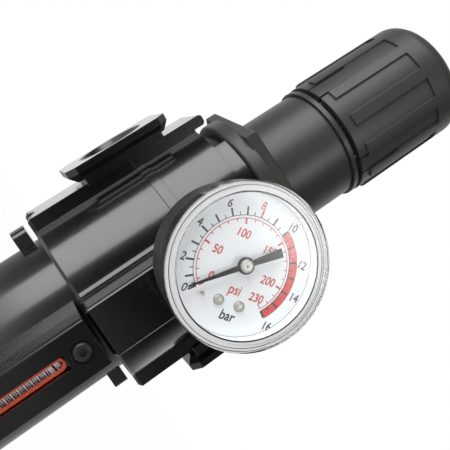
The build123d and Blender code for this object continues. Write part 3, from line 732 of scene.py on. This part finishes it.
@dataclass
class Dial(Assembly):
    """The gauge's dial: its plate and screws, the printed scales and words, and what rings it.

    Angles run clockwise from the dial's own top, which is itself rolled about the gauge's axis.
    The print lies a little beside that axis.
    """

    centre_z: float = 4.2
    face: float = 57.2
    roll: float = -36.5
    half_sweep: float = 135.0
    zero_shift: float = 4.2
    arc_step: float = 2.5
    print_x: float = 0.22
    print_z: float = -0.42
    film: float = 0.02

    bar_top: int = 16
    bar_parts: int = 2
    bar_red: int = 8
    black_ring: float = 12.6
    ring_width: float = 0.18
    long_tick: float = 14.8
    short_tick: float = 13.6
    bold_tick: float = 0.48
    fine_tick: float = 0.24
    end_tick: float = 0.6
    band_from: float = 10.0
    band_outer: float = 14.75
    band_lap: float = 0.1
    band_line_in: float = 0.12
    band_line_out: float = 0.06
    band_trim: float = 0.3

    psi_top: int = 230
    psi_step: int = 10
    psi_long: int = 50
    red_ring: float = 11.95
    red_half: float = 0.1
    red_long: float = 10.5
    red_short: float = 11.2

    narrow: float = 0.86
    slant: float = 0.12
    bold: float = 0.05
    strikes: tuple[Point, ...] = ((0, 0), (-1, -0.5), (1, 0.5), (0.5, -1), (-0.5, 1))
    strike_films: int = 8
    figure_share: float = 0.7

    round_steps: int = 120
    sleeve_r: float = 18.26
    sleeve_top: float = 60.92
    # Sizes of the thin black ring of painted shade at the window's edge.
    window_shade_r: float = 18.5
    window_shade_w: float = 0.38
    window_shade_depth: float = 61.06
    # Sizes of the pale ring of painted light inside the lens's rim, and of the black sleeve of painted shade
    # round it.
    rim_light_inner: float = 18.5
    rim_light_outer: float = 20.93
    rim_light_depth: float = 61.1
    shade_r: float = 20.8
    shade_back: float = 56.5
    shade_gap: float = 0.05
    line_inner: float = 19.85
    line_outer: float = 20.55
    line_width: float = 0.13
    line_depth: float = 61.2

    plate_r: float = 18.2
    plate_back: float = 56.6
    plate_round: float = 0.1
    hole_r: float = 0.95
    screw_angle: float = 164.0
    screw_ring: float = 10.5
    screw_r: float = 1.4
    screw_h: float = 0.9
    screw_wall: float = 0.25
    screw_sunk: float = 0.3
    screw_steps: int = 32
    dome_steps: int = 8

    def build(self) -> None:
        """Print the scales and words, and build the plate, the screws and the rings."""
        self._scale_bar()
        self._scale_psi()
        self._band()
        for word in WORDS:
            self._write(word)
        self._rings()
        self._plate()
        self._screws()

    def point(self, angle: float, radius: float, layer: Layer = Layer.BOTTOM) -> Vector:
        """Find a point of the print.

        Args:
            angle: Clockwise from the dial's own top.
            radius: From the middle of the print.
            layer: Layer of ink.

        Returns:
            The point, in metres.
        """
        return self.axis_point(angle, radius, layer) + Vector((self.print_x, 0.0, self.print_z)) * MM

    def axis_point(self, angle: float, radius: float, layer: Layer = Layer.BOTTOM) -> Vector:
        """Find a point of the dial about the gauge's own axis.

        Args:
            angle: Clockwise from the dial's own top.
            radius: From the gauge's axis.
            layer: Layer of ink.

        Returns:
            The point, in metres.
        """
        turned = math.radians(angle + self.roll)
        return Vector((radius * math.sin(turned), -self.face - layer.value * self.film,
                       self.centre_z + radius * math.cos(turned))) * MM

    def _angle(self, value: float, top: float) -> float:
        """Turn a reading into an angle; the zero mark stands a little inside the sweep."""
        start = self.zero_shift if value == 0 else 0.0
        return -self.half_sweep + start + 2 * self.half_sweep * value / top

    def _arc(self, mesh: bmesh.types.BMesh, start: float, end: float, inner: float, outer: float,
             layer: Layer = Layer.BOTTOM) -> None:
        """Print an arc between two angles.

        Args:
            mesh: Mesh to add to.
            start: First angle.
            end: Last angle.
            inner: Inner radius.
            outer: Outer radius.
            layer: Layer of ink.
        """
        steps = max(1, round(abs(end - start) / self.arc_step))
        rows = []
        for index in range(steps + 1):
            angle = start + (end - start) * index / steps
            rows.append([mesh.verts.new(self.point(angle, radius, layer)) for radius in (inner, outer)])
        for low, high in zip(rows, rows[1:]):
            mesh.faces.new((low[0], high[0], high[1], low[1]))

    def _tick(self, mesh: bmesh.types.BMesh, angle: float, inner: float, outer: float, width: float,
              layer: Layer = Layer.BOTTOM) -> None:
        """Print a straight tick.

        Args:
            mesh: Mesh to add to.
            angle: The tick's angle.
            inner: Inner radius.
            outer: Outer radius.
            width: Its width.
            layer: Layer of ink.
        """
        side = (self.point(angle + 90, 1.0) - self.point(angle + 90, 0.0)) * width / 2
        low = self.point(angle, inner, layer)
        high = self.point(angle, outer, layer)
        corners = (low - side, low + side, high + side, high - side)
        mesh.faces.new([mesh.verts.new(corner) for corner in corners])

    def _print(self, name: str, mesh: bmesh.types.BMesh, ink: Ink) -> None:
        """Turn a print into a piece."""
        self.add_piece(name, self.make_mesh(name, mesh, ink.value, flat=True), "dial_white")

    def _scale_bar(self) -> None:
        """Print the outer scale: a ring, a long tick each bar and a short one between."""
        black = bmesh.new()
        band = self._angle(self.band_from, self.bar_top)
        self._arc(black, self._angle(0, self.bar_top), band, self.black_ring,
                  self.black_ring + self.ring_width)
        self._arc(black, band, self.half_sweep, self.black_ring - self.band_line_in,
                  self.black_ring + self.band_line_out, Layer.TOP)
        for index in range(self.bar_parts * self.bar_top + 1):
            value = index / self.bar_parts
            if value == self.bar_red:
                continue
            whole = index % self.bar_parts == 0
            outer = self.long_tick if whole else self.short_tick
            if value >= self.band_from:
                outer -= self.band_trim
            width = self.bold_tick if whole else self.fine_tick
            if value == self.bar_top:
                width = self.end_tick
            self._tick(black, self._angle(value, self.bar_top), self.black_ring, outer, width, Layer.TOP)
        self._print("scale_bar", black, Ink.BLACK)
        red = bmesh.new()
        self._tick(red, self._angle(self.bar_red, self.bar_top), self.black_ring, self.long_tick,
                   self.bold_tick, Layer.TOP)
        self._print("tick_eight", red, Ink.RED)

    def _scale_psi(self) -> None:
        """Print the inner red scale."""
        red = bmesh.new()
        self._arc(red, self._angle(0, self.psi_top), self.half_sweep, self.red_ring - self.red_half,
                  self.red_ring + self.red_half)
        for value in range(0, self.psi_top + 1, self.psi_step):
            whole = value % self.psi_long == 0
            inner = self.red_long if whole or value == self.psi_top else self.red_short
            self._tick(red, self._angle(value, self.psi_top), inner, self.red_ring,
                       self.bold_tick if whole else self.fine_tick)
        self._print("scale_psi", red, Ink.RED)

    def _band(self) -> None:
        """Print the red band over the top of the scale."""
        red = bmesh.new()
        self._arc(red, self._angle(self.band_from, self.bar_top), self.half_sweep,
                  self.black_ring - self.band_lap, self.band_outer, Layer.MIDDLE)
        self._print("red_band", red, Ink.RED)

    def _write(self, word: Word) -> None:
        """Print a word upright on the dial, centred on its point and struck several times.

        Args:
            word: The word.
        """
        curve = bpy.data.curves.new(word.name, "FONT")
        curve.body = word.text
        curve.align_x = "CENTER"
        curve.align_y = "CENTER"
        curve.shear = self.slant
        holder = bpy.data.objects.new(word.name, curve)
        bpy.context.scene.collection.objects.link(holder)
        bpy.context.view_layer.update()
        mesh = bpy.data.meshes.new_from_object(holder)
        bpy.data.objects.remove(holder)
        scale = word.height * MM / self.figure_share
        right = (self.point(90, 1.0) - self.point(90, 0.0)).normalized()
        up = (self.point(0, 1.0) - self.point(0, 0.0)).normalized()
        axes = Matrix((right, up, Vector((0, -1, 0)))).transposed().to_4x4()
        place = Matrix.Translation(self.axis_point(word.angle, word.radius, Layer.MIDDLE))
        mesh.transform(place @ axes @ Matrix.Diagonal((scale * self.narrow, scale, scale, 1.0)))
        struck = bmesh.new()
        for index, (across, along) in enumerate(self.strikes):
            first = len(struck.verts)
            struck.from_mesh(mesh)
            struck.verts.ensure_lookup_table()
            shift = (right * across + up * along) * self.bold * MM
            shift.y = -index * self.film * MM / self.strike_films
            bmesh.ops.translate(struck, vec=shift, verts=struck.verts[first:])
        bpy.data.meshes.remove(mesh)
        self._print(word.name, struck, word.ink)

    def _turn(self, mesh: bmesh.types.BMesh, profile: Sequence[Point], around: bool = False) -> None:
        """Turn a profile round the gauge's axis.

        Args:
            mesh: Mesh to add to.
            profile: Radius and depth of each of its corners.
            around: Whether the profile is closed.
        """
        centre = (0.0, self.centre_z)
        bridge(mesh, [add_loop(mesh, circle(centre, radius, self.round_steps), depth)
                      for radius, depth in profile], around)

    def _rings(self) -> None:
        """Add the dial's sleeve, a black ring of painted shade at the window's edge, a pale ring of painted
        light in the lens's rim with a black sleeve of painted shade round it, and two dark lines on the rim.
        """
        rings = (
            ("dial_sleeve", "dial_white", (self.sleeve_r, self.face), (self.sleeve_r, self.sleeve_top)),
            # Thin black ring of painted shade at the window's edge, where the lens's step shows a dark line.
            ("window_shade_ring", "pointer_black", (self.window_shade_r - self.window_shade_w, self.window_shade_depth),
             (self.window_shade_r, self.window_shade_depth)),
            # Pale ring of painted light inside the clear rim, standing in for the light that the rim shows.
            ("rim_light_ring", "painted_rim_light", (self.rim_light_inner, self.rim_light_depth),
             (self.rim_light_outer, self.rim_light_depth)),
            ("rim_shade", "pointer_black", (self.shade_r, self.shade_back),
             (self.shade_r, self.rim_light_depth - self.shade_gap)),
            ("rim_line_inner", "pointer_black", (self.line_inner, self.line_depth),
             (self.line_inner + self.line_width, self.line_depth)),
            ("rim_line_outer", "pointer_black", (self.line_outer, self.line_depth),
             (self.line_outer + self.line_width, self.line_depth)),
        )
        for name, finish, *profile in rings:
            mesh = bmesh.new()
            self._turn(mesh, profile)
            data = self.make_mesh(name, mesh, finish, smooth=True)
            self.add_piece(name, data, "gauge_black" if finish == "pointer_black" else "dial_white")

    def _plate(self) -> None:
        """Build the dial's plate, with a hole for the pointer's shaft."""
        profile = ((self.hole_r, self.plate_back), (self.hole_r, self.face),
                   (self.plate_r - self.plate_round, self.face), (self.plate_r, self.face - self.plate_round),
                   (self.plate_r, self.plate_back))
        mesh = bmesh.new()
        self._turn(mesh, profile, around=True)
        data = self.make_mesh("dial_plate", mesh, "dial_white")
        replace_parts(self.add_piece("dial_plate", data, "dial_white"), "gauge_dial")

    def _screws(self) -> None:
        """Build the two domed screws that hold the dial."""
        mesh = bmesh.new()
        for side in (-1, 1):
            place = self.axis_point(side * self.screw_angle, self.screw_ring) / MM
            centre = (place.x, place.z)
            profile = [(self.screw_r, -self.screw_sunk)]
            for level in range(self.dome_steps):
                lift = level / self.dome_steps * math.pi / 2
                rise = self.screw_wall + (1 - self.screw_wall) * math.sin(lift)
                profile.append((self.screw_r * math.cos(lift), self.screw_h * rise))
            loops = [add_loop(mesh, circle(centre, radius, self.screw_steps), self.face + rise)
                     for radius, rise in profile]
            bridge(mesh, loops)
            mesh.faces.new(loops[0])
            tip = add_loop(mesh, [centre], self.face + self.screw_h)[0]
            for index, corner in enumerate(loops[-1]):
                mesh.faces.new((corner, loops[-1][(index + 1) % self.screw_steps], tip))
        data = self.make_mesh("dial_rivets", mesh, "small_steel", smooth=True)
        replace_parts(self.add_piece("dial_rivets", data, "small_steel"), "dial_screws")


@dataclass
class Needle(Assembly):
    """The gauge's pointer as it rests a little above zero, with its round hub and the cap's mark."""

    dial: Dial | None = None
    rest: float = -127.9
    length: float = 15.2
    tail: float = 10.0
    tip_width: float = 0.34
    waist_width: float = 1.35
    tail_width: float = 2.3
    hub: float = 2.15
    waist_share: float = 0.9
    back: float = 58.6
    thickness: float = 0.5
    crown: float = 0.12
    hub_steps: int = 48
    cap_front: float = 60.1
    punch_r: float = 0.3
    punch_proud: float = 0.01

    def build(self) -> None:
        """Dress the cap and the shaft, and build the pointer in place of the plain one."""
        self.dress()
        tip, waist, tail = self.tip_width / 2, self.waist_width / 2, self.tail_width / 2
        root = self.hub * self.waist_share
        outline = [self._place(across, along) for across, along in (
            (-tip, self.length), (tip, self.length), (waist, root), (waist, -root),
            (tail, -self.tail), (-tail, -self.tail), (-waist, -root), (-waist, root))]
        centre = (0.0, self.dial.centre_z)
        front = self.back + self.thickness
        mesh = bmesh.new()
        add_plate(mesh, outline, self.back, front)
        add_plate(mesh, circle(centre, self.hub, self.hub_steps), self.back, front + self.crown)
        data = self.make_mesh("needle", mesh, "pointer_black")
        piece = self.add_piece("needle", data, "pointer_black")
        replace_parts(piece, "pointer")
        punch = bmesh.new()
        rim = circle(centre, self.punch_r, self.hub_steps)
        punch.faces.new(add_loop(punch, rim, self.cap_front + self.punch_proud))
        mark = self.make_mesh("cap_punch", punch, "pointer_black", flat=True)
        self.add_piece("cap_punch", mark, "pointer_black")

    def _place(self, across: float, along: float) -> Point:
        """Place a point of the pointer on the dial.

        Args:
            across: To the right of the pointer's middle, seen towards its tip.
            along: From the hub towards the tip.

        Returns:
            X and Z of the point.
        """
        turn = math.radians(self.rest + self.dial.roll)
        return (across * math.cos(turn) + along * math.sin(turn),
                self.dial.centre_z - across * math.sin(turn) + along * math.cos(turn))


@dataclass(frozen=True)
class Lamp:
    """A rectangular soft lamp that the camera doesn't see, with its power in watts."""

    name: str
    place: Place
    aim: Place
    size: Point
    power: float

    def hang(self) -> None:
        """Hang the lamp at its place, so that it faces its aim."""
        data = bpy.data.lights.new(self.name, "AREA")
        data.shape = "RECTANGLE"
        data.size, data.size_y = (side * MM for side in self.size)
        data.energy = self.power
        lamp = bpy.data.objects.new(self.name, data)
        bpy.context.scene.collection.objects.link(lamp)
        lamp.visible_camera = False
        lamp.location = Vector(self.place) * MM
        lamp.rotation_mode = "QUATERNION"
        lamp.rotation_quaternion = (Vector(self.aim) - Vector(self.place)).to_track_quat("-Z", "Y")


@dataclass
class Studio:
    """Pale floor, white surroundings, soft lamps and the camera, which looks up from the left."""

    azimuth: float = 16.25
    elevation: float = 12.63
    roll: float = 33.98
    focal_pixels: float = 640.94
    frame_pixels: float = 450.0
    sensor: float = 36.0
    clip_near: float = 10.0
    clip_far: float = 50000.0
    distance: float = 210.22
    shift_right: float = 17.79
    shift_up: float = 5.44
    floor_half: float = 6000.0
    floor_gap: float = 3.0
    floor_dark: Colour = (0.9, 0.9, 0.9)
    floor_light: Colour = (0.93, 0.93, 0.93)
    floor_white: float = 0.98
    dark_to: float = 0.1
    white_from: float = 0.9
    room: float = 0.03
    fill: float = 0.3
    lamps: tuple[Lamp, ...] = (
        Lamp("key", (-620.0, -260.0, 200.0), (0.0, -10.0, 0.0), (550.0, 700.0), 5.5),
        Lamp("veil", (207.0, -631.0, 270.0), (0.0, -60.0, 20.0), (200.0, 160.0), 0.9),
    )

    def build(self) -> None:
        """Set up everything round the object."""
        self._camera()
        self._world()
        self._floor()
        for lamp in self.lamps:
            lamp.hang()
        bpy.context.scene.view_settings.view_transform = "Standard"

    def _axes(self) -> tuple[Vector, Vector, Vector]:
        """Find the camera's directions from its three angles.

        Returns:
            Its right, up and backward directions.
        """
        turn = math.radians(self.azimuth)
        drop = math.radians(self.elevation)
        lean = math.radians(self.roll)
        back = Vector((-math.sin(turn) * math.cos(drop), -math.cos(turn) * math.cos(drop), -math.sin(drop)))
        level = Vector((math.cos(turn), -math.sin(turn), 0.0))
        upright = level.cross(-back)
        right = upright * math.cos(lean) + level * math.sin(lean)
        up = upright * math.sin(lean) - level * math.cos(lean)
        return right, up, back

    def _camera(self) -> None:
        """Make the camera at the photograph's viewing angle."""
        right, up, back = self._axes()
        data = bpy.data.cameras.new("camera")
        data.sensor_width = self.sensor
        data.lens = self.focal_pixels * self.sensor / self.frame_pixels
        data.clip_start, data.clip_end = self.clip_near * MM, self.clip_far * MM
        camera = bpy.data.objects.new("camera", data)
        bpy.context.scene.collection.objects.link(camera)
        turn = Matrix((right, up, back)).transposed().to_4x4()
        place = (back * self.distance + right * self.shift_right + up * self.shift_up) * MM
        camera.matrix_world = Matrix.Translation(place) @ turn
        bpy.context.scene.camera = camera

    def _world(self) -> None:
        """Make the surroundings: white behind the object, and a darker room behind the camera."""
        world = bpy.data.worlds.new("studio")
        bpy.context.scene.world = world
        world.use_nodes = True
        board = NodeBoard(world.node_tree)
        path = board.add("LightPath")
        place = board.add("TexCoord")
        toward = board.add("VectorMath", {1: -self._axes()[2]}, operation="DOT_PRODUCT")
        board.join(place.outputs["Generated"], toward.inputs[0])
        behind = board.add("MapRange", {"From Min": self.dark_to, "From Max": self.white_from,
                                        "To Min": self.room, "To Max": 1.0}, interpolation_type="SMOOTHSTEP")
        board.join(toward.outputs["Value"], behind.inputs["Value"])
        sharp = board.math("MAXIMUM", path.outputs["Is Glossy Ray"], path.outputs["Is Transmission Ray"])
        mirrored = board.math("MULTIPLY", sharp, behind.outputs["Result"])
        plain = board.math("MULTIPLY", board.math("SUBTRACT", 1.0, sharp), self.fill)
        lit = board.math("MAXIMUM", mirrored, plain)
        background = board.add("Background", {"Color": (1.0, 1.0, 1.0, 1.0)})
        board.join(board.math("MAXIMUM", path.outputs["Is Camera Ray"], lit), background.inputs["Strength"])
        board.close(background.outputs[0], "OutputWorld")

    def _floor(self) -> None:
        """Lay the pale floor just below the drain; seen directly it is nearly white."""
        side = self.floor_half * MM
        low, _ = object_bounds()
        height = low.z - self.floor_gap * MM
        corners = [(x * side, y * side, height) for x, y in ((-1, -1), (1, -1), (1, 1), (-1, 1))]
        mesh = bpy.data.meshes.new("floor")
        mesh.from_pydata(corners, [], [range(len(corners))])
        floor = bpy.data.objects.new("floor", mesh)
        bpy.context.scene.collection.objects.link(floor)
        floor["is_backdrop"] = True
        material = bpy.data.materials.new("floor")
        material.use_nodes = True
        board = NodeBoard(material.node_tree)
        shader = board.add("BsdfPrincipled", {"Roughness": 0.8})
        cloud = board.add("TexNoise", {"Scale": 1.5})
        board.join(board.blend(cloud.outputs["Fac"], self.floor_dark, self.floor_light),
                   shader.inputs["Base Color"])
        white = board.add("Emission", {"Strength": 1.0})
        path = board.add("LightPath")
        seen = board.math("MAXIMUM", path.outputs["Is Camera Ray"], path.outputs["Is Transmission Ray"])
        mix = board.add("MixShader")
        board.join(board.math("MULTIPLY", seen, self.floor_white), mix.inputs[0])
        board.join(shader.outputs[0], mix.inputs[1])
        board.join(white.outputs[0], mix.inputs[2])
        board.close(mix.outputs[0])
        mesh.materials.append(material)


def write_sizes() -> None:
    """Update the view layer.
    """
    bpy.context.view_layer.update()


def main() -> None:
    """Build every sub-assembly in order, then the studio."""
    logging.basicConfig(level=logging.INFO, format="%(name)s: %(message)s")
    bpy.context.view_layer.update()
    wardrobe = Wardrobe()
    assemblies = (
        Assembly(wardrobe, "body", ("body_casting", "bonnet", "rear_plug", "slip_ring", "diaphragm",
                                    "regulating_spring", "valve_spring", "valve_guide", "swirl_vanes",
                                    "filter_element", "baffle")),
        Assembly(wardrobe, "screw", ("adjusting_screw",)),
        Assembly(wardrobe, "knob", ("knob",)),
        Assembly(wardrobe, "spring_seat", ("spring_seat",)),
        Assembly(wardrobe, "diaphragm_group", ("diaphragm_plate", "relief_nut")),
        Assembly(wardrobe, "valve", ("valve_poppet", "valve_seal")),
        Assembly(wardrobe, "body", ("gauge_stem", "gauge_case", "gauge_lens", "movement_frame",
                                    "stop_pin")),
        Assembly(wardrobe, "bowl", ("bowl", "bowl_seal_ring", "sight_frame", "sight_glass", "sight_seal",
                                    "frame_screws", "drain_fitting", "drain_nut")),
        Assembly(wardrobe, "drain", ("drain_knob",)),
    )
    for assembly in assemblies:
        assembly.dress()
    # Pale plates of painted light behind the level glass.
    LevelPrismLight(wardrobe, "bowl").build()
    LockRing(wardrobe, "body").build()
    dial = Dial(wardrobe, "body")
    dial.build()
    Needle(wardrobe, "pointer", ("pointer_cap", "pointer_shaft"), dial).build()
    write_sizes()
    Studio().build()


if __name__ == "__main__":
    main()
